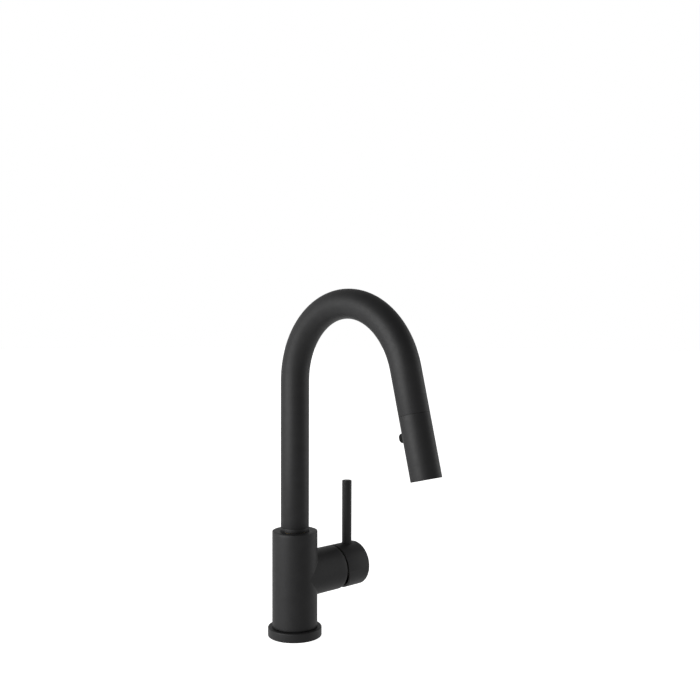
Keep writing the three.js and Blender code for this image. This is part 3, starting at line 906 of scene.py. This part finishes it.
def nozzle_tree():
    """Round nipples on a circle, joined to the mat that carries them."""
    tree, given = geometry_tree(
        "nipples_on_circle", Count=1, Circle=0.1, Foot=0.1, Tip=0.1, Length=0.1, Height=0.1,
    )
    circle = add(
        tree, "GeometryNodeMeshCircle", None, {"Vertices": given["Count"], "Radius": given["Circle"]},
    )
    height = add(tree, "ShaderNodeCombineXYZ", None, {"Z": given["Height"]})
    spots = add(
        tree, "GeometryNodeTransform", None,
        {"Geometry": circle.outputs[0], "Translation": height.outputs[0]},
    )
    cone = add(
        tree, "GeometryNodeMeshCone", None,
        {"Vertices": 20, "Side Segments": 3, "Radius Top": given["Tip"], "Radius Bottom": given["Foot"],
         "Depth": given["Length"]},
    )
    nipples = add(
        tree, "GeometryNodeInstanceOnPoints", None, {"Points": spots.outputs[0], "Instance": cone.outputs[0]},
    )
    tip_down = add(tree, "FunctionNodeAxisAngleToRotation", None, {"Axis": (1, 0, 0), "Angle": math.pi})
    tree.links.new(tip_down.outputs[0], nipples.inputs["Rotation"])
    both = tree.nodes.new("GeometryNodeJoinGeometry")
    tree.links.new(given["Geometry"], both.inputs[0])
    tree.links.new(nipples.outputs[0], both.inputs[0])
    end_tree(tree, both.outputs[0], given["Material"])
    return tree


def honeycomb_tree():
    """Six-sided cells with thin walls, one on each point."""
    tree, given = geometry_tree("honeycomb", Cell=0.1, Wall=0.1, Depth=0.1)
    hexagon = add(tree, "GeometryNodeCurvePrimitiveCircle", None, {"Resolution": 6, "Radius": given["Cell"]})
    section = add(
        tree, "GeometryNodeCurvePrimitiveQuadrilateral", None,
        {"Width": given["Wall"], "Height": given["Depth"]},
    )
    cells = add(
        tree, "GeometryNodeInstanceOnPoints", None,
        {"Points": given["Geometry"], "Instance": swept(tree, hexagon, section)},
    )
    end_tree(tree, cells.outputs[0], given["Material"])
    return tree


def make_nozzles():
    """The silicone mat of the spray, set back in the outlet, with its nipples."""
    place = placed(middle("spray_nozzles"), *ALONG_HEAD)
    outline = outline_of("spray_nozzles", place)
    mat = turned("nozzle_mat", softened(outline, 0.3 * MM))
    radii = [point.x for point in outline]
    low = min(point.y for point in outline)
    sizes = {
        "Count": 20, "Circle": (min(radii) + max(radii)) / 2, "Foot": 0.95 * MM, "Tip": 0.6 * MM,
        "Length": 1.3 * MM, "Height": low + 0.2 * MM,
    }
    grown(mat, nozzle_tree(), sizes, finish_of("spray_nozzles"))
    mat.data.transform(place)
    fitted(mat, "spray_nozzles", keep_materials=True)


def make_aerator():
    """The aerator: a round housing with a honeycomb that straightens the jet."""
    turned_again("aerator_housing", ALONG_HEAD, 0.2)
    place = placed(middle("aerator_screen"), *ALONG_HEAD)
    outline = outline_of("aerator_screen", place)
    radius = max(point.x for point in outline)
    depth = max(point.y for point in outline) - min(point.y for point in outline)
    cell, wall = 0.62 * MM, 0.16 * MM
    pitch = cell * math.sqrt(3)
    reach = int(radius / pitch) + 1
    points = []
    for row in range(-reach, reach + 1):
        for column in range(-reach, reach + 1):
            spot = Vector(((column + 0.5 * (row % 2)) * pitch, row * pitch * math.sqrt(3) / 2, 0))
            if spot.length < radius - cell:
                points.append(Matrix.Rotation(math.pi / 6, 3, "Z") @ Vector((spot.y, spot.x, 0)))
    comb = line_object("aerator_honeycomb", points, edges=False)
    sizes = {"Cell": cell, "Wall": wall, "Depth": depth}
    grown(comb, honeycomb_tree(), sizes, finish_of("aerator_screen", ALONG_HEAD))
    comb.data.transform(place)
    fitted(comb, "aerator_screen", keep_materials=True)


def make_button():
    """The spray button: a rounded oblong with a soft edge and a crowned face."""
    low, high = reach_in(HEAD, "spray_button")
    width, height = high.x - low.x, high.z - low.z
    centre = (high.z + low.z) / 2
    foot, face = low.y, high.y
    edge, crown, bevel = 1.5 * MM, 0.5 * MM, 0.4 * MM
    levels = [(bevel, foot), (0, foot + bevel)]
    arc_steps = 8
    for k in range(arc_steps + 1):
        angle = math.pi / 2 * k / arc_steps
        levels.append((edge * (1 - math.cos(angle)), face - crown - edge * (1 - math.sin(angle))))
    inset_steps = 5
    deepest = BUTTON_CORNER - bevel
    for k in range(1, inset_steps + 1):
        share = k / inset_steps
        levels.append((edge + (deepest - edge) * share, face - crown * (1 - share) ** 2))
    rings = []
    for inset, level in levels:
        ring = rounded_rectangle(width - 2 * inset, height - 2 * inset, BUTTON_CORNER - inset)
        rings.append([Vector((point.x, level, centre + point.y)) for point in ring])
    fitted(stacked("fine_spray_button", rings, HEAD), "spray_button")


def coil_tree():
    """A coil of round wire."""
    tree, given = geometry_tree("coil", Turns=0.1, Radius=0.1, Height=0.1, Wire=0.1)
    coil = add(
        tree, "GeometryNodeCurveSpiral", None,
        {"Resolution": 24, "Rotations": given["Turns"], "Start Radius": given["Radius"],
         "End Radius": given["Radius"], "Height": given["Height"]},
    )
    wire = add(tree, "GeometryNodeCurvePrimitiveCircle", None, {"Resolution": 10, "Radius": given["Wire"]})
    end_tree(tree, swept(tree, coil, wire, caps=True), given["Material"])
    return tree


def make_spring():
    """The spring behind the spool, squeezed between the head and the button."""
    seated = seat("button_spring", ACROSS_HEAD)
    low, high = reach_in(seated, "button_spring")
    radius, half = high.x, (high.z - low.z) / 2
    place = seated @ Matrix.Translation((0, 0, low.z + half))
    wire = 0.3 * MM
    coil = line_object("fine_button_spring", [Vector((0, 0, 0))], edges=False)
    sizes = {"Turns": 6.0, "Radius": radius - wire, "Height": 2 * (half - wire), "Wire": wire}
    grown(coil, coil_tree(), sizes, finish_of("button_spring", ACROSS_HEAD))
    coil.data.transform(place @ Matrix.Translation((0, 0, wire - half)))
    SLOT_OF["button_spring"]
    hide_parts("button_spring")
    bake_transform(coil)


def make_head():
    """The coated shell with the button's window, and everything it holds."""
    place = seat("head_shell", ALONG_HEAD)
    outline = softened(outline_of("head_shell", place), 0.15 * MM)
    shell = turned("fine_head_shell", outline, place, BODY_SIDES)
    low, high = reach_in(HEAD, "spray_button")
    width, height = high.x - low.x + 2 * RUNNING_GAP, high.z - low.z + 2 * RUNNING_GAP
    centre = (high.z + low.z) / 2
    ring = rounded_rectangle(width, height, BUTTON_CORNER + RUNNING_GAP)
    inside, outside = 5 * MM, 20 * MM
    rings = [[Vector((p.x, level, centre + p.y)) for p in ring] for level in (inside, outside)]
    carved(shell, stacked("window", rings, HEAD))
    fitted(shell, "head_shell")
    make_button()
    make_nozzles()
    make_aerator()
    make_spring()
    turned_again("diverter_spool", ACROSS_HEAD, 0.2)
    for node, soft in (
        ("face_plate", 0.2), ("docking_plate", 0.2), ("hose_nut", 0.3), ("hose_washer", 0.2),
        ("check_valve", 0.3), ("docking_insert", 0.3), ("docking_magnet", 0.3),
    ):
        turned_again(node, ALONG_HEAD, soft)


# ---------------------------------------------------------------- handle

def make_handle():
    """The cap with its relief below mid-height, and the upright rod."""
    low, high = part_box("handle_cap")
    radius = high.y
    wall, end_wall, boss = 1.9 * MM, 5 * MM, 9.5 * MM
    boss_foot = low.x + 4.9 * MM
    floor = high.x - end_wall
    outline = [
        (0, boss_foot), (boss, boss_foot), (boss, floor), (radius - wall, floor), (radius - wall, low.x),
        (radius, low.x), (radius, high.x), (0, high.x),
    ]
    axis = placed((0, 0, VALVE_Z), *ALONG_VALVE)
    cap = turned("fine_handle_cap", softened([Vector(p) for p in outline], 0.5 * MM), axis, BODY_SIDES)
    tilt = math.radians(JOINTS["handle_tilt"]["range_deg"][1])
    drop = 30 * MM
    clear_x = low.x - 5 * MM
    corners = [(clear_x, 0), (low.x, 0), (low.x + drop * math.tan(tilt), -drop), (clear_x, -drop)]
    rings = [[Vector((x, y, VALVE_Z + z)) for x, z in corners] for y in (-drop, drop)]
    wedge = stacked("wedge", rings)
    lever_x = middle("lever_rod").x
    lever_r = (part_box("lever_rod")[1].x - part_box("lever_rod")[0].x) / 2
    lever_hole = placed((lever_x, 0, VALVE_Z), *UP)
    screw = placed((middle("set_screw_plug").x, 0, VALVE_Z), *UP)
    spindle_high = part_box("lever_spindle")[1]
    half = spindle_high.y + RUNNING_GAP
    square = block((low.x, spindle_high.x + RUNNING_GAP), (-half, half), (VALVE_Z - half, VALVE_Z + half))
    plug_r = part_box("set_screw_plug")[1].y + RUNNING_GAP
    carved(
        cap, wedge, square,
        drill(lever_r + RUNNING_GAP / 2, radius - wall - 2 * MM, radius + MM, lever_hole),
        drill(LEVER_STUB_R + RUNNING_GAP / 2, half, radius, lever_hole),
        drill(plug_r, -radius - MM, -half, screw),
    )
    fitted(cap, "handle_cap")
    turned_again("lever_rod", UP, 0.5)
    turned_again("set_screw_plug", UP, 0.2)
    turned_again("bonnet_nut", ALONG_VALVE, 0.3)
    socket_screw("handle_set_screw", UP, -1)
    make_spindle()


def make_spindle():
    """The square brass bar that the handle is clamped to, and its pin through the carrier."""
    low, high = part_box("lever_spindle")
    pin_low, pin_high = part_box("pivot_pin")
    bar = block((low.x, high.x), (low.y, high.y), (low.z, high.z))
    bar.name = "fine_lever_spindle"
    pin_r = (pin_high.z - pin_low.z) / 2
    hole = placed(middle("pivot_pin"), *ALONG_Y)
    eased(bar, 0.5 * MM)
    carved(bar, drill(pin_r + RUNNING_GAP, -high.y - MM, high.y + MM, hole, 48))
    fitted(bar, "lever_spindle", ALONG_VALVE)
    turned_again("pivot_pin", ALONG_Y, 0.2)


# ---------------------------------------------------------------- fixing under the worktop

def make_mounting_nut():
    """A hexagon nut, chamfered round its corners, with a hole for each jacking screw."""
    low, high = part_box("mounting_nut")
    flats = high.y
    corner = flats / math.cos(math.pi / 6)
    half = (high.z - low.z) / 2
    chamfer = (corner - flats) * math.tan(math.pi / 6)
    outline = [
        (0, -half), (flats, -half), (corner, chamfer - half),
        (corner, half - chamfer), (flats, half), (0, half),
    ]
    place = placed((0, 0, middle("mounting_nut").z), *UP)
    nut = turned("fine_mounting_nut", [Vector(p) for p in outline], place)
    for k in range(6):
        turn = Matrix.Rotation(math.pi / 6 + k * math.pi / 3, 4, "Z")
        outside = ((flats, corner + MM), (-corner, corner), (-half - MM, half + MM))
        carved(nut, block(*outside, place @ turn))
    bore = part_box("threaded_shank")[1].x + RUNNING_GAP
    carved(nut, drill(bore, -half - MM, half + MM, place))
    for node in CLAMP_SCREWS:
        hole = placed((middle(node).x, 0, middle("mounting_nut").z), *UP)
        carved(nut, drill(SCREW_STEM + RUNNING_GAP, -half - MM, half + MM, hole, 32))
    fitted(nut, "mounting_nut")


def make_clamp_screw(node):
    """A slotted jacking screw, with its head down."""
    low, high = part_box(node)
    head, length = (high.x - low.x) / 2, high.z - low.z
    head_height, slot_half, slot_depth = 3.5 * MM, 0.5 * MM, 1.2 * MM
    outline = [
        (0, 0), (head, 0), (head, head_height), (SCREW_STEM, head_height), (SCREW_STEM, length), (0, length),
    ]
    place = placed((middle(node).x, 0, low.z), *UP)
    soft = softened([Vector(p) for p in outline], 0.35 * MM)
    screw = threaded("fine_" + node, soft, place, *SCREW_THREAD)
    carved(screw, block((-slot_half, slot_half), (-4 * MM, 4 * MM), (-MM, slot_depth), place))
    fitted(screw, node)


def make_fixing():
    """The threaded shank, the nut with its two jacking screws, and the washers."""
    place = placed(middle("threaded_shank"), *UP)
    outline = softened(outline_of("threaded_shank", place), 0.3 * MM)
    fitted(threaded("fine_threaded_shank", outline, place, *SHANK_THREAD), "threaded_shank")
    make_mounting_nut()
    for node in CLAMP_SCREWS:
        make_clamp_screw(node)
    for node, soft in (("deck_gasket", 0.4), ("rubber_washer", 0.5), ("steel_washer", 0.2)):
        turned_again(node, UP, soft)
    for node in NIPPLES:
        turned_again(node, UP, 0.3, sides=48)


# ---------------------------------------------------------------- stage

def make_floor():
    """A white worktop with the tap hole through it. It glows like the backdrop, unseen by bounced light."""
    bm = bmesh.new()
    hole, half_way, edge = 17.3 * MM, 0.5, 6.0
    sides = 96
    angles = [2 * math.pi * k / sides for k in range(sides + 1)]
    strip(bm, [[around(r, angle, 0) for r in (hole, half_way, edge)] for angle in angles])
    floor = solid("worktop", bm)
    if floor.data.polygons[0].normal.z < 0:
        floor.data.flip_normals()
    material, tree, shader, place = new_material("white_acrylic_sheet", "#f4f4f2", 0.6)
    shader.inputs["Emission Color"].default_value = linear("#ffffff")
    shader.inputs["Emission Strength"].default_value = 1.0
    tree.links.new(spread(tree, noise(tree, place, 60), 0.55, 0.65), shader.inputs["Roughness"])
    floor.data.materials.append(material)
    floor.visible_diffuse = False
    floor.visible_glossy = False


def aimed(name, data, place, view, roll=0):
    """A lamp or camera at a place, looking along a direction."""
    piece = object_of(name, data)
    piece.location = place
    piece.rotation_mode = "QUATERNION"
    piece.rotation_quaternion = view.to_track_quat("-Z", "Y") @ Quaternion((0, 0, 1), roll)
    return piece


def softbox(name, place, target, width, height, watts):
    light = bpy.data.lights.new(name, "AREA")
    light.shape = "RECTANGLE"
    light.size = width
    light.size_y = height
    light.energy = watts
    aimed(name, light, place, Vector(target) - Vector(place)).visible_camera = False


def make_light():
    """Soft studio light: boxes on the left and right, in a dim room with a white backdrop."""
    world = bpy.data.worlds.new("studio")
    world.use_nodes = True
    tree = world.node_tree
    sight = tree.nodes.new("ShaderNodeTexCoord").outputs["Generated"]
    parts = add(tree, "ShaderNodeSeparateXYZ", None, {"Vector": sight})
    by_height = mapped(tree, parts.outputs["Z"], 0.0, 0.8, 0.52, 0.15)
    by_depth = mapped(tree, parts.outputs["Y"], -1.0, 1.0, 0.65, 1.45)
    room = maths(tree, "MULTIPLY", by_height, by_depth)
    tree.nodes["Background"].inputs["Color"].default_value = linear("#ffffff")
    tree.links.new(room, tree.nodes["Background"].inputs["Strength"])
    seen = add(tree, "ShaderNodeBackground", None, {"Color": linear("#ffffff"), "Strength": 1.0})
    path = tree.nodes.new("ShaderNodeLightPath")
    mix = add(
        tree, "ShaderNodeMixShader", None,
        {0: path.outputs["Is Camera Ray"], 1: tree.nodes["Background"].outputs[0], 2: seen.outputs[0]},
    )
    tree.links.new(mix.outputs[0], tree.nodes["World Output"].inputs["Surface"])
    bpy.context.scene.world = world
    aim = (0, -0.06, 0.18)
    softbox("left_box", (-1.3, 0.15, 0.5), aim, 1.4, 1.2, 14)
    softbox("right_box", (0.9, -0.45, 0.3), aim, 0.5, 1.0, 1.2)


def make_camera():
    bearing = math.radians(49.9)
    distance, height = 1.00146, 0.33463
    turn, drop, roll = [math.radians(degrees) for degrees in (-3.1, 2.853, 0.2)]
    place = Vector((-distance * math.cos(bearing), -distance * math.sin(bearing), height))
    ahead = bearing + turn
    view = Vector((math.cos(ahead) * math.cos(drop), math.sin(ahead) * math.cos(drop), -math.sin(drop)))
    data = bpy.data.cameras.new("camera")
    data.lens = 52.27
    data.sensor_width = 36
    bpy.context.scene.camera = aimed("camera", data, place, view, roll)
    bpy.context.scene.view_settings.view_transform = "Standard"


make_camera()
make_body()
make_spout()
make_hose()
make_head()
make_handle()
make_fixing()
for node, cad_object in frame["nodes"].items():
    if not cad_object.hide_render:
        cad_object.data.materials.clear()
        cad_object.data.materials.append(finish_of(node))
make_floor()
make_light()
